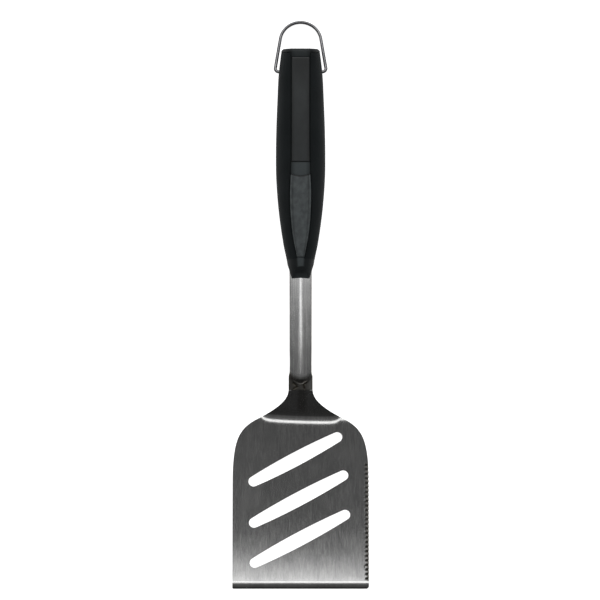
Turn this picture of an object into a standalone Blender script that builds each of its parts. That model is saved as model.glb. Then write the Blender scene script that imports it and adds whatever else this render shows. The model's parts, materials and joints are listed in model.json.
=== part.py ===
"""Grill spatula: a slotted, serrated blade, an oval tube shaft, a two-shot handle and a wire hanging loop.

The spatula lies as it rests on a table: the blade's heel and the belly of the handle touch Z = 0, and the
blade rises a little towards its front edge. +X is the serrated side, +Y runs from the blade to the loop and
+Z is up.
The origin is under the middle of the bounding box. Every size below is in millimetres, and a station is a
distance along Y from the blade's front edge; add_mesh turns both into metres in this frame.
"""

import math

import bpy
import bmesh
from mathutils import Vector

MM = 0.001
GAP = 0.3

# Overall
LENGTH = 432.0
AXIS_Z = 12.0

# Blade: one bent sheet
SHEET = 1.5
BLADE_HALF = 51.8
SERRATED_HALF = 51.9
BLADE_TILT = math.radians(8)
HEEL_STATION = 125.9
HEEL_RADIUS = 14.0
NECK_SLOPE = math.radians(30)
NECK_RADIUS = 6.0
BEVEL_LENGTH = 3.6
EDGE_THICKNESS = 0.4
FRONT_CORNERS = (0.8, 2.3)
SHOULDER_STATION = 79.0
SHOULDER_HANDLE = 34.0
NECK_SIDE = (32.5, 128.7)
NECK_SIDE_ANGLE = math.radians(63)
NECK_SIDE_HANDLES = (16.6, 14.0)
NECK_TOP = (9.3, 150.2)
NECK_TOP_HANDLE = 8.0
TONGUE_HALF = 6.9
TONGUE_END = 178.0

# Slots: middle across, middle station, distance between the centres of the round ends
SLOTS = ((-4.0, 97.7, 72.0), (-1.5, 67.6, 76.8), (-0.5, 37.6, 77.7))
SLOT_ANGLE = math.radians(28)
SLOT_END_RADIUS = 3.8
SLOT_HALF_WIDTH = 5.2

# Serration: scallops ground into the top of the +X edge. A scallop dips below its cusps, and leaves a small
# notch in the edge.
TOOTH_PITCH = 3.46
TOOTH_COUNT = 26
TOOTH_START = 5.8
TOOTH_DIP = 1.0
TOOTH_NOTCH = 0.3
GRIND_ANGLE = math.radians(29)

# Tube shaft: half width, half height, radii of ridge and corners, and where the flank starts and ends, as the
# angles of its normals from upright
TUBE_SECTION = (8.6, 5.25, 9.0, 1.6, math.radians(14), math.radians(22))
PINCH_SECTION = (9.2, 2.05, 220.0, 1.7, math.radians(1.0), math.radians(2.4))
LEAST_CORNER = 0.3
TUBE_WALL = 0.9
TUBE_END = 374.0
PINCH_START = 150.5
PINCH_END = 166.0
PINCH_FLAT = 3.5
WELD_STATION = 153.4
WELD_HALF_SPACING = 4.2
WELD_RADIUS = 2.6
WELD_DEPTH = 0.4

# Parts hidden in the handle
PLUG_START = 350.0
PIN_STATION = 362.0
PIN_RADIUS = 1.5
PIN_HALF_LENGTH = 13.0

# Handle: half width, height of the crown and depth of the belly from the shaft's axis, and half width of the
# flat facet along the top, each as (station, value)
NOSE_START = 235.4
NOSE_ARCH = 0.4
NOSE_TIP_HALF = 6.6
NOSE_END = 246.6
SCOOP_FLOOR = 5.95
SCOOP_END = 245.0
GRIP_START = 250.3
GRIP_END = 406.6
BUTT_END = 409.8
WIDTH_STATIONS = ((237, 9.5), (246.6, 10.1), (262, 13.2), (286, 16.6), (310, 18.5), (326, 18.8), (348, 18.5),
                  (372, 17.6), (390, 16.7), (411, 14.3))
CROWN_STATIONS = ((237, 7.4), (262, 9.3), (286, 11.2), (310, 12.6), (332, 13.0), (360, 12.7), (390, 11.7),
                  (411, 10.6))
BELLY_STATIONS = ((237, 7.2), (262, 9.0), (286, 10.8), (310, 11.8), (326, 12.0), (348, 11.8), (372, 11.2),
                  (411, 9.8))
FACET_STATIONS = ((237, 2.5), (248, 2.7), (255, 3.8), (262, 5.3), (271, 6.8), (285, 8.1), (299, 8.5),
                  (312, 8.0), (321, 7.35), (411, 7.2))
GRIP_THICKNESS_STATIONS = ((250, 0.9), (264, 1.7), (280, 2.2), (411, 2.2))
INLAY_THICKNESS = 1.8
PAD_START = 251.8
PAD_END = 315.0
SMILE_DIP = 1.9
PANEL_START = 324.0
PANEL_END = 403.0

# Hanging loop: bent wire, hinged in two blind holes in the sides of the handle
PIVOT_STATION = 392.5
WIRE_RADIUS = 1.25
LOOP_DROOP = math.radians(15.5)
LOOP_FOOT_HALF = 19.25
LOOP_FOOT_RADIUS = 2.6
LOOP_RISE = 39.7
LOOP_TOP_RADIUS = 15.6
LOOP_END_HALF = 9.5
HOLE_RADIUS = 1.75
HOLE_BOTTOM_HALF = 8.8


# ---------------------------------------------------------------- curves and outlines


def arc(centre, radius, start, end, steps):
    """Points along an arc, both ends included."""
    points = []
    for i in range(steps + 1):
        angle = start + (end - start) * i / steps
        points.append((centre[0] + radius * math.cos(angle), centre[1] + radius * math.sin(angle)))
    return points


def bezier(a, b, c, d, steps):
    """Points along a cubic Bezier curve, both ends included."""
    points = []
    for i in range(steps + 1):
        t = i / steps
        s = 1 - t
        weights = (s**3, 3 * s * s * t, 3 * s * t * t, t**3)
        points.append(tuple(sum(w * p[k] for w, p in zip(weights, (a, b, c, d))) for k in range(2)))
    return points


def curve_through(stations):
    """A smooth function through (station, value) pairs, each slope taken from the two neighbours."""
    xs = [s[0] for s in stations]
    values = [s[1] for s in stations]
    last = len(stations) - 1
    slopes = []
    for i in range(last + 1):
        before = max(i - 1, 0)
        after = min(i + 1, last)
        slopes.append((values[after] - values[before]) / (xs[after] - xs[before]))

    def value_at(x):
        x = min(max(x, xs[0]), xs[-1])
        i = max(k for k in range(last) if xs[k] <= x)
        span = xs[i + 1] - xs[i]
        u = (x - xs[i]) / span
        return (
            (2 * u**3 - 3 * u**2 + 1) * values[i]
            + (u**3 - 2 * u**2 + u) * span * slopes[i]
            + (3 * u**2 - 2 * u**3) * values[i + 1]
            + (u**3 - u**2) * span * slopes[i + 1]
        )

    return value_at


def mirrored(half):
    """A half outline that starts and ends near X = 0, continued on the -X side. It keeps no point twice."""
    other = [(-p[0],) + tuple(p[1:]) for p in reversed(half) if abs(p[0]) > 1e-9]
    return list(half) + other


# ---------------------------------------------------------------- meshes and objects


def material(name, color, metallic, roughness):
    made = bpy.data.materials.new(name)
    made.use_nodes = True
    shader = made.node_tree.nodes["Principled BSDF"]
    shader.inputs["Base Color"].default_value = (*color, 1)
    shader.inputs["Metallic"].default_value = metallic
    shader.inputs["Roughness"].default_value = roughness
    made.diffuse_color = (*color, 1)
    return made


def add_mesh(name, points, faces, look=None, origin=(0, 0, 0)):
    """An object with its origin at a point, from points (x, station, z) in millimetres."""
    start = Vector(origin)
    mesh = bpy.data.meshes.new(name)
    mesh.from_pydata([(Vector(p) - start) * MM for p in points], [], faces)
    solid = bmesh.new()
    solid.from_mesh(mesh)
    bmesh.ops.connect_verts_nonplanar(solid, angle_limit=math.radians(0.5), faces=solid.faces)
    bmesh.ops.recalc_face_normals(solid, faces=solid.faces)
    solid.to_mesh(mesh)
    solid.free()
    mesh.shade_smooth()
    mesh.set_sharp_from_angle(angle=math.radians(30))
    if look:
        mesh.materials.append(look)
    obj = bpy.data.objects.new(name, mesh)
    obj.location = (start + Vector((0, -LENGTH / 2, 0))) * MM
    bpy.context.scene.collection.objects.link(obj)
    return obj


def skin(rings, closed=False):
    """Points and faces over rings of equal length. A closed row joins end to end, and others get caps."""
    count = len(rings[0])
    points = [p for ring in rings for p in ring]
    faces = []
    for i in range(len(rings) if closed else len(rings) - 1):
        here = i * count
        there = (i + 1) % len(rings) * count
        for j in range(count):
            k = (j + 1) % count
            faces.append((here + j, here + k, there + k, there + j))
    if not closed:
        faces.append(tuple(range(count)))
        faces.append(tuple(range((len(rings) - 1) * count, len(rings) * count)))
    return points, faces


def prism(outline, low, high, lay):
    """An outline pushed from one level to another. lay turns (a, b, level) into (x, station, z)."""
    return skin([[lay(a, b, level) for a, b in outline] for level in (low, high)])


def lay_flat(a, b, level):
    return (a, b, level)


def lay_across(a, b, level):
    return (level, a, b)


def add_cutter(name, points, faces, origin=(0, 0, 0)):
    cutter = add_mesh(name, points, faces, origin=origin)
    cutter.hide_render = True
    cutter.display_type = "WIRE"
    return cutter


def apply_cutter(target, cutter, operation="DIFFERENCE"):
    cut = target.modifiers.new(cutter.name, "BOOLEAN")
    cut.operation = operation
    cut.object = cutter
    cut.solver = "EXACT"


def cylinder_across(name, station, radius, low, high, sides=16):
    """A cutter along X at the shaft's height."""
    circle = arc((station, AXIS_Z), radius, 0, 2 * math.pi, sides)[:-1]
    return add_cutter(name, *prism(circle, low, high, lay_across))


# ---------------------------------------------------------------- blade


def sheet_middle():
    """The sheet's middle line from the front edge to the end of the tongue, as (station, z, slope) points."""
    bottom = SHEET / 2
    heel_y = HEEL_STATION - HEEL_RADIUS * math.sin(BLADE_TILT)
    heel_z = bottom + HEEL_RADIUS * (1 - math.cos(BLADE_TILT))
    line = []
    for station in (0.0, BEVEL_LENGTH):
        line.append((station, heel_z + (heel_y - station) * math.tan(BLADE_TILT), -BLADE_TILT))
    steps = 9
    for i in range(steps + 1):
        slope = -BLADE_TILT + (BLADE_TILT + NECK_SLOPE) * i / steps
        line.append((HEEL_STATION + HEEL_RADIUS * math.sin(slope),
                     bottom + HEEL_RADIUS * (1 - math.cos(slope)), slope))
    turn = (HEEL_RADIUS + NECK_RADIUS) * (1 - math.cos(NECK_SLOPE))
    run = (AXIS_Z - bottom - turn) / math.tan(NECK_SLOPE)
    neck_end = HEEL_STATION + (HEEL_RADIUS + NECK_RADIUS) * math.sin(NECK_SLOPE) + run
    steps = 5
    for i in range(steps + 1):
        slope = NECK_SLOPE * (1 - i / steps)
        line.append((neck_end - NECK_RADIUS * math.sin(slope),
                     AXIS_Z - NECK_RADIUS * (1 - math.cos(slope)), slope))
    line.append((TONGUE_END, AXIS_Z, 0.0))
    return line


def sheet_side_profile():
    """The sheet from the side: even thickness, ground down on top over the front bevel to an upright edge."""
    middle = sheet_middle()
    under = []
    over = []
    for station, z, slope in middle:
        under.append((station + SHEET / 2 * math.sin(slope), z - SHEET / 2 * math.cos(slope)))
        over.append((station - SHEET / 2 * math.sin(slope), z + SHEET / 2 * math.cos(slope)))
    front_bottom = middle[0][1] - SHEET / 2 / math.cos(BLADE_TILT)
    under[0] = (0.0, front_bottom)
    over[0] = (0.0, front_bottom + EDGE_THICKNESS)
    return under + over[::-1]


def blade_outline():
    """The blade from above: front corners, straight edges, round shoulders, fan neck and tongue."""
    side = Vector((math.sin(NECK_SIDE_ANGLE), -math.cos(NECK_SIDE_ANGLE)))
    edge = Vector(NECK_SIDE)
    outline = []
    for sign, half, corner in ((1, SERRATED_HALF, FRONT_CORNERS[1]), (-1, BLADE_HALF, FRONT_CORNERS[0])):
        shoulder = bezier(
            (half, SHOULDER_STATION),
            (half, SHOULDER_STATION + SHOULDER_HANDLE),
            tuple(edge + side * NECK_SIDE_HANDLES[0]),
            tuple(edge),
            14,
        )
        fan = bezier(
            tuple(edge),
            tuple(edge - side * NECK_SIDE_HANDLES[1]),
            (NECK_TOP[0], NECK_TOP[1] - NECK_TOP_HANDLE),
            NECK_TOP,
            10,
        )
        right = arc((half - corner, corner), corner, -math.pi / 2, 0, 5) + shoulder + fan[1:]
        right += [(TONGUE_HALF, NECK_TOP[1]), (TONGUE_HALF, TONGUE_END + 5)]
        outline += [(sign * x, y) for x, y in (right if sign > 0 else reversed(right))]
    return outline


def slot_outline(x, station, length):
    """A lens-shaped slot: round ends, sides bulged to the middle, turned to rise towards +X."""
    half = length / 2
    bulge = SLOT_HALF_WIDTH - SLOT_END_RADIUS
    side_radius = (half * half + bulge * bulge) / (2 * bulge)
    lean = math.asin(half / side_radius)
    side_centre = SLOT_HALF_WIDTH - side_radius
    upper_side = arc((0, side_centre), side_radius, math.pi / 2 - lean, math.pi / 2 + lean, 8)
    left_end = arc((-half, 0), SLOT_END_RADIUS, math.pi / 2 + lean, 3 * math.pi / 2 - lean, 8)
    loop = upper_side[1:] + left_end[1:]
    loop += [(-a, -b) for a, b in loop]
    c = math.cos(SLOT_ANGLE)
    s = math.sin(SLOT_ANGLE)
    return [(x + a * c - b * s, station + a * s + b * c) for a, b in loop]


def add_serration_cutter():
    """One comb for all scallops: a row of arcs pushed along the grinding direction, outwards and down."""
    half = TOOTH_PITCH / 2
    radius = (half * half + TOOTH_DIP**2) / (2 * TOOTH_DIP)
    reach = math.asin(half / radius)
    first = TOOTH_START / math.cos(BLADE_TILT)
    comb = []
    for i in range(TOOTH_COUNT):
        middle = first + (i + 0.5) * TOOTH_PITCH
        scallop = arc((middle, radius - TOOTH_DIP), radius, -math.pi / 2 - reach, -math.pi / 2 + reach, 4)
        comb += scallop if i == 0 else scallop[1:]
    comb += [(first + TOOTH_COUNT * TOOTH_PITCH, 4.0), (first, 4.0)]
    c = math.cos(GRIND_ANGLE)
    s = math.sin(GRIND_ANGLE)

    def lay_along_grind(a, b, level):
        return (level * c + b * s, a, b * c - level * s)

    cutter = add_cutter("serration_cutter", *prism(comb, -8, 8, lay_along_grind))
    front_bottom = sheet_side_profile()[0][1]
    cusp_line = SERRATED_HALF - TOOTH_NOTCH + TOOTH_DIP / math.sin(GRIND_ANGLE)
    cutter.location = Vector((cusp_line, -LENGTH / 2, front_bottom)) * MM
    cutter.rotation_euler = (-BLADE_TILT, 0, 0)
    return cutter


def add_blade(steel):
    blade = add_mesh("blade", *prism(sheet_side_profile(), -60, 60, lay_across), steel, (0, HEEL_STATION, 0))
    outline = add_cutter("blade_outline_cutter", *prism(blade_outline(), -6, 36, lay_flat))
    apply_cutter(blade, outline, "INTERSECT")
    for number, slot in enumerate(SLOTS, 1):
        cutter = add_cutter(f"slot_cutter_{number}", *prism(slot_outline(*slot), -8, 40, lay_flat))
        apply_cutter(blade, cutter)
    apply_cutter(blade, add_serration_cutter())
    return blade


# ---------------------------------------------------------------- shaft


def flat_oval(shape, inset):
    """A tube's section as (x, z) points: rounded ridge, nearly flat flanks, tight corners, upright sides."""
    half, height, ridge, corner, flank_start, flank_end = shape
    half -= inset
    height -= inset
    ridge -= inset
    corner = max(corner - inset, LEAST_CORNER)
    low = math.sin(flank_start)
    high = math.sin(flank_end)
    flank = (half - ridge * low - corner * (1 - high)) / (high - low)
    up = math.pi / 2
    ridge_centre = Vector((0, height - ridge))
    flank_centre = ridge_centre + Vector((low, math.cos(flank_start))) * (ridge - flank)
    corner_centre = flank_centre + Vector((high, math.cos(flank_end))) * (flank - corner)
    quarter = arc(ridge_centre, ridge, up, up - flank_start, 2)
    quarter += arc(flank_centre, flank, up - flank_start, up - flank_end, 2)[1:]
    quarter += arc(corner_centre, corner, up - flank_end, 0, 4)[1:]
    return mirrored(quarter + [(x, -z) for x, z in reversed(quarter)])


def tube_ring(station, inset=0.0):
    """The tube's section: pinched flat at its lower end and a plain flat oval past the pinch."""
    u = min(max((station - PINCH_START - PINCH_FLAT) / (PINCH_END - PINCH_START - PINCH_FLAT), 0.0), 1.0)
    open_up = u * u * (3 - 2 * u)
    ring = []
    for flat, full in zip(flat_oval(PINCH_SECTION, inset), flat_oval(TUBE_SECTION, inset)):
        x, z = Vector(flat).lerp(Vector(full), open_up)
        ring.append((x, station, AXIS_Z + z))
    return ring


def add_shaft_tube(steel):
    bend = [PINCH_START, PINCH_START + PINCH_FLAT]
    bend += [bend[1] + (PINCH_END - bend[1]) * i / 5 for i in range(1, 6)]
    stations = bend + [TUBE_END]
    rings = [tube_ring(s) for s in stations] + [tube_ring(s, TUBE_WALL) for s in reversed(stations)]
    tube = add_mesh("shaft_tube", *skin(rings, closed=True), steel, (0, PINCH_START, AXIS_Z))
    apply_cutter(tube, cylinder_across("tube_pin_cutter", PIN_STATION, PIN_RADIUS + GAP, -20, 20))
    for sign in (-1, 1):
        ball_z = AXIS_Z + PINCH_SECTION[1] - WELD_DEPTH + WELD_RADIUS
        bpy.ops.mesh.primitive_uv_sphere_add(segments=12, ring_count=8, radius=WELD_RADIUS * MM)
        ball = bpy.context.object
        ball.name = f"weld_cutter_{sign}"
        ball.location = Vector((sign * WELD_HALF_SPACING, WELD_STATION - LENGTH / 2, ball_z)) * MM
        ball.hide_render = True
        ball.display_type = "WIRE"
        apply_cutter(tube, ball)
    return tube


def add_tube_plug(plastic):
    """The bung that closes the tube's upper end, which keeps the moulded handle out of the shaft."""
    inset = TUBE_WALL + GAP
    levels = ((PLUG_START, inset + 1.2), (PLUG_START + 2.5, inset), (TUBE_END, inset))
    rings = [tube_ring(station, inwards) for station, inwards in levels]
    plug = add_mesh("tube_plug", *skin(rings), plastic, (0, PIN_STATION, AXIS_Z))
    apply_cutter(plug, cylinder_across("plug_pin_cutter", PIN_STATION, PIN_RADIUS + GAP, -20, 20))
    return plug


def add_lock_pin(steel):
    """The cross pin through handle core, tube and plug."""
    circle = arc((PIN_STATION, AXIS_Z), PIN_RADIUS, 0, 2 * math.pi, 16)[:-1]
    solid = prism(circle, -PIN_HALF_LENGTH, PIN_HALF_LENGTH, lay_across)
    return add_mesh("lock_pin", *solid, steel, (0, PIN_STATION, AXIS_Z))


# ---------------------------------------------------------------- handle


width_at = curve_through(WIDTH_STATIONS)
crown_at = curve_through(CROWN_STATIONS)
belly_at = curve_through(BELLY_STATIONS)
facet_at = curve_through(FACET_STATIONS)
grip_thickness_at = curve_through(GRIP_THICKNESS_STATIONS)


def flank_point(station, angle, inset=0.0):
    """A point (x, z) on the handle's side at an angle: -90 degrees is the belly, 0 the side, 90 the crown."""
    half = width_at(station)
    facet = facet_at(station)
    x = (half - inset) * math.cos(angle)
    if angle <= 0:
        squareness = 2 / 2.3
        x = (half - inset) * abs(math.cos(angle)) ** squareness
        return (x, -(belly_at(station) - inset) * abs(math.sin(angle)) ** squareness)
    peak = crown_at(station) / math.sqrt(1 - (facet / half) ** 2)
    return (x, (peak - inset) * math.sin(angle))


def flank(station, wall, inset=0.0):
    """The handle's side as (x, z) points from the middle of the belly up to a wall at x = wall."""
    lower = [flank_point(station, -math.pi / 2 * (1 - i / 7), inset) for i in range(8)]
    lower[0] = (0.0, lower[0][1])
    top = math.acos(wall / (width_at(station) - inset))
    return lower + [flank_point(station, top * i / 5, inset) for i in range(1, 6)]


def body_ring(station, inset=0.0):
    """The handle's whole section, with its flat top facet."""
    facet = facet_at(station)
    side = flank(station, facet + GAP / 2, inset)
    wall = facet - GAP / 2
    crown = crown_at(station) - inset
    return mirrored(side + [(wall, crown), (wall / 2, crown), (0.0, crown)])


def core_ring(station, recess):
    """The core's section under the grip: inset flanks, and a spine with a recessed top."""
    wall = facet_at(station) - GAP / 2
    top = crown_at(station) - recess
    side = flank(station, wall + 0.4, grip_thickness_at(station) + GAP)
    side[-1] = (wall, side[-1][1])
    return mirrored(side + [(wall, top), (wall / 2, top), (0.0, top)])


def grip_ring(station):
    """The grip's C-shaped section: outer flank, then back along the inner flank, open at the top."""
    wall = facet_at(station) + GAP / 2
    outer = flank(station, wall)
    inner = flank(station, wall, grip_thickness_at(station))
    outside = [(-x, z) for x, z in reversed(outer)] + outer[1:]
    inside = [(-x, z) for x, z in reversed(inner)] + inner[1:]
    return outside + inside[::-1]


def lifted(section, station):
    return [(x, station, AXIS_Z + z) for x, z in section]


def smile(x, station):
    """The curved seam between pad and bridge: it dips towards the blade in the middle."""
    half = facet_at(station)
    return station - SMILE_DIP * (1 - min(abs(x) / half, 1.0) ** 2)


def stepped_rings(station, low, high, seam):
    """Two core rings on either side of an upright step in the spine's top, which follows a seam."""
    rings = []
    for along, recess in ((station, low), (station + 0.8, high)):
        ring = lifted(core_ring(along, recess), along)
        top = (len(ring) + 1) // 2
        for i in range(top - 2, top + 3):
            ring[i] = (ring[i][0], seam(ring[i][0], station), ring[i][2])
        rings.append(ring)
    return rings


def spread(ring, other, shift):
    """The ring with every point that it shares with the other moved along Y, so that no face collapses."""
    shared = [max(abs(a - b) for a, b in zip(p, q)) < 1e-6 for p, q in zip(ring, other)]
    return [(x, y + shift, z) if same else (x, y, z) for (x, y, z), same in zip(ring, shared)]


def add_handle_core(plastic):
    bed = INLAY_THICKNESS + GAP
    rings = [lifted(body_ring(s), s) for s in (NOSE_END + GAP, GRIP_START - GAP)]
    rings += [spread(lifted(core_ring(GRIP_START - GAP, 0.0), GRIP_START - GAP), rings[-1], 0.6)]
    rings += stepped_rings(PAD_START - GAP, 0.0, bed, lambda x, station: station)
    rings += [lifted(core_ring(s, bed), s) for s in (260, 268, 276, 285, 295, 306)]
    rings += stepped_rings(PAD_END + GAP, bed, 0.0, smile)
    rings += stepped_rings(PANEL_START - GAP, 0.0, bed, lambda x, station: station)
    rings += [lifted(core_ring(s, bed), s) for s in (342, 362, 384)]
    rings += stepped_rings(PANEL_END + GAP, bed, 0.0, lambda x, station: station)
    butt = ((GRIP_END + GAP, 0.0), (BUTT_END - 2.2, 0.25), (BUTT_END - 1.0, 1.1), (BUTT_END, 3.0))
    butt_rings = [lifted(body_ring(s, inset), s) for s, inset in butt]
    rings += [spread(lifted(core_ring(GRIP_END + GAP, 0.0), GRIP_END + GAP), butt_rings[0], -0.6)]
    rings += butt_rings
    core = add_mesh("handle_core", *skin(rings), plastic, (0, PIVOT_STATION, AXIS_Z))
    bore = [tube_ring(s, -GAP) for s in (NOSE_START, TUBE_END + GAP)]
    apply_cutter(core, add_cutter("core_bore_cutter", *skin(bore)))
    apply_cutter(core, cylinder_across("core_pin_cutter", PIN_STATION, PIN_RADIUS + GAP, -25, 25))
    for cutter in loop_hole_cutters("core"):
        apply_cutter(core, cutter)
    return core


def add_nose_collar(plastic):
    """The collar between grip and tube: an oval ring cut back at its sides, with a sloping scoop on top."""
    stations = (NOSE_START, (NOSE_START + NOSE_END) / 2, NOSE_END)
    rings = [lifted(body_ring(s), s) for s in stations]
    collar = add_mesh("nose_collar", *skin(rings), plastic, (0, NOSE_END, AXIS_Z))
    bore = [tube_ring(s, -GAP) for s in (NOSE_START - 5, NOSE_END + 5)]
    apply_cutter(collar, add_cutter("collar_bore_cutter", *skin(bore)))
    rim = [(NOSE_TIP_HALF * i / 4, NOSE_START + NOSE_ARCH * (1 - (i / 4) ** 2)) for i in range(-4, 5)]
    back = 10.4
    slant = rim + [(back, NOSE_END + 0.5), (back, NOSE_END + 2)]
    slant += [(-back, NOSE_END + 2), (-back, NOSE_END + 0.5)]
    apply_cutter(collar, add_cutter("collar_slant_cutter", *prism(slant, -2, 26, lay_flat)), "INTERSECT")
    crown = crown_at(SCOOP_END)
    start = NOSE_START - 1.0
    floor = SCOOP_FLOOR - (crown - SCOOP_FLOOR) / (SCOOP_END - NOSE_START)
    scoop = [(start, AXIS_Z + floor), (SCOOP_END, AXIS_Z + crown), (SCOOP_END, 26), (start, 26)]
    apply_cutter(collar, add_cutter("collar_scoop_cutter", *prism(scoop, -8, 8, lay_across)))
    return collar


def add_grip_sleeve(rubber):
    stations = (GRIP_START, 256, 264, 272, 281, 291, 302, 314, 326, 342, 360, 376, 392, GRIP_END)
    rings = [lifted(grip_ring(s), s) for s in stations]
    grip = add_mesh("grip_sleeve", *skin(rings), rubber, (0, GRIP_START, AXIS_Z))
    for cutter in loop_hole_cutters("grip"):
        apply_cutter(grip, cutter)
    return grip


def add_inlay(name, look, start, end, start_seam, end_seam, rows, crowned):
    """A strip let into the spine: a slab that follows the crown, as wide as the facet, with a raised rim."""
    across = (-1.0, -0.72, -0.4, 0.0, 0.4, 0.72, 1.0)
    rings = []
    for i in range(rows + 1):
        upper = []
        lower = []
        for share in across:
            middle = start + (end - start) * i / rows
            x = share * (facet_at(middle) - 1.5 * GAP)
            low = start_seam(x, start)
            y = low + (end_seam(x, end) - low) * i / rows
            crown = AXIS_Z + crown_at(y) + (crowned if abs(share) == 0.72 else 0.0)
            upper.append((x, y, crown))
            lower.append((x, y, AXIS_Z + crown_at(y) - INLAY_THICKNESS))
        rings.append(upper + lower[::-1])
    return add_mesh(name, *skin(rings), look, (0, start, AXIS_Z + crown_at(start)))


def straight(x, station):
    return station


# ---------------------------------------------------------------- hanging loop


def loop_hole_cutters(name):
    """Two blind holes on the loop's axis, one from each side."""
    return [
        cylinder_across(f"{name}_hole_cutter_right", PIVOT_STATION, HOLE_RADIUS, HOLE_BOTTOM_HALF, 25),
        cylinder_across(f"{name}_hole_cutter_left", PIVOT_STATION, HOLE_RADIUS, -25, -HOLE_BOTTOM_HALF),
    ]


def loop_path():
    """The wire's middle line in the loop's own plane: feet on the axis, splayed legs and a round top."""
    foot = (LOOP_FOOT_HALF - LOOP_FOOT_RADIUS, LOOP_FOOT_RADIUS)
    top = (0.0, LOOP_RISE - LOOP_TOP_RADIUS)
    apart = math.hypot(foot[0], top[1] - foot[1])
    lean = math.atan2(foot[0], top[1] - foot[1]) - math.asin((LOOP_TOP_RADIUS - LOOP_FOOT_RADIUS) / apart)
    right = [(LOOP_END_HALF, 0.0), (foot[0] - 2.0, 0.0)]
    right += arc(foot, LOOP_FOOT_RADIUS, -math.pi / 2, lean, 7)
    right += arc(top, LOOP_TOP_RADIUS, lean, math.pi / 2, 12)[:-1]
    return right + [(0.0, LOOP_RISE)] + [(-x, y) for x, y in reversed(right)]


def add_hanging_loop(steel, pivot):
    curve = bpy.data.curves.new("hanging_loop", "CURVE")
    curve.dimensions = "3D"
    curve.bevel_depth = WIRE_RADIUS * MM
    curve.bevel_resolution = 3
    curve.use_fill_caps = True
    path = loop_path()
    wire = curve.splines.new("POLY")
    wire.points.add(len(path) - 1)
    for point, (x, y) in zip(wire.points, path):
        point.co = (x * MM, y * MM, 0, 1)
        point.radius = 1
    curve.materials.append(steel)
    loop = bpy.data.objects.new("hanging_loop", curve)
    bpy.context.scene.collection.objects.link(loop)
    loop.parent = pivot
    return loop


# ---------------------------------------------------------------- assembly


def add_empty(name, location, tilt=0.0):
    empty = bpy.data.objects.new(name, None)
    empty.location = location
    empty.rotation_euler = (tilt, 0, 0)
    empty.empty_display_size = 0.01
    bpy.context.scene.collection.objects.link(empty)
    return empty


def main():
    for obj in list(bpy.data.objects):
        bpy.data.objects.remove(obj)

    brushed = material("brushed_stainless", (0.60, 0.60, 0.59), 1.0, 0.32)
    wire_steel = material("wire_steel", (0.42, 0.42, 0.43), 1.0, 0.30)
    hard_plastic = material("hard_black_plastic", (0.022, 0.024, 0.024), 0.0, 0.45)
    soft_rubber = material("soft_black_grip", (0.018, 0.021, 0.021), 0.0, 0.62)
    satin_plastic = material("satin_black_plastic", (0.045, 0.050, 0.050), 0.0, 0.38)
    plain_plastic = material("plain_plastic", (0.25, 0.25, 0.24), 0.0, 0.5)

    spatula = add_empty("spatula", (0, 0, 0))
    fixed = [
        add_blade(brushed),
        add_shaft_tube(brushed),
        add_tube_plug(plain_plastic),
        add_lock_pin(wire_steel),
        add_nose_collar(hard_plastic),
        add_handle_core(hard_plastic),
        add_grip_sleeve(soft_rubber),
        add_inlay("thumb_pad", satin_plastic, PAD_START, PAD_END, straight, smile, 9, 0.25),
        add_inlay("upper_inlay", hard_plastic, PANEL_START, PANEL_END, straight, straight, 8, 0.0),
    ]
    for obj in fixed:
        obj.parent = spatula

    pivot = add_empty("loop_pivot", Vector((0, PIVOT_STATION - LENGTH / 2, AXIS_Z)) * MM, -LOOP_DROOP)
    add_hanging_loop(wire_steel, pivot)


main()
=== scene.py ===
import json
import math

import bpy
import bmesh
from mathutils import Matrix, Vector


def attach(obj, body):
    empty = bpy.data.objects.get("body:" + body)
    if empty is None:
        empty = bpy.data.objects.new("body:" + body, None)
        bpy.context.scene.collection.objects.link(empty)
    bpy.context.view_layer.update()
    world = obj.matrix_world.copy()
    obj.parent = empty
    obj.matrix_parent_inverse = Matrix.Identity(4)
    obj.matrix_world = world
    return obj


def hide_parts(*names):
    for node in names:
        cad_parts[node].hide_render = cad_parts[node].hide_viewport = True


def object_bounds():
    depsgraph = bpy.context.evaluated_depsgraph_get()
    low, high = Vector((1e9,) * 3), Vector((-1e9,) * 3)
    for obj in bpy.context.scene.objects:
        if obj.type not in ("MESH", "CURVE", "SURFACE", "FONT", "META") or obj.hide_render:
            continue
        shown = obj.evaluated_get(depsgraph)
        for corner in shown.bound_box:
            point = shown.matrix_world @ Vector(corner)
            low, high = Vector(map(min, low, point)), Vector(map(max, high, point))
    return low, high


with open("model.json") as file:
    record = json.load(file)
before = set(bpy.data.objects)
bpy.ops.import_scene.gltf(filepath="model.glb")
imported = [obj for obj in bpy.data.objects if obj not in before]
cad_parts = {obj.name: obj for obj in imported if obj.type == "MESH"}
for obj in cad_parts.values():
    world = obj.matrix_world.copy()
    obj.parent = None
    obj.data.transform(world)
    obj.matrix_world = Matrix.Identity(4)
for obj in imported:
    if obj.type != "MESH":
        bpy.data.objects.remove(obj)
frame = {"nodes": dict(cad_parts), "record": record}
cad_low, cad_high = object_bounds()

# The visual model of a grill spatula, laid over its CAD frame. Sizes are in millimetres, and a
# station is a distance along +Y from the blade's front edge. X and Z are the frame's own.
MM = 0.001
GAP = 0.3
SHARP_ANGLE = 30.0
FRONT_Y = cad_low.y
PIVOT = Vector(frame["record"]["behaviour"]["joints"][0]["pos_m"])
AXIS_Z = PIVOT.z / MM

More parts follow.
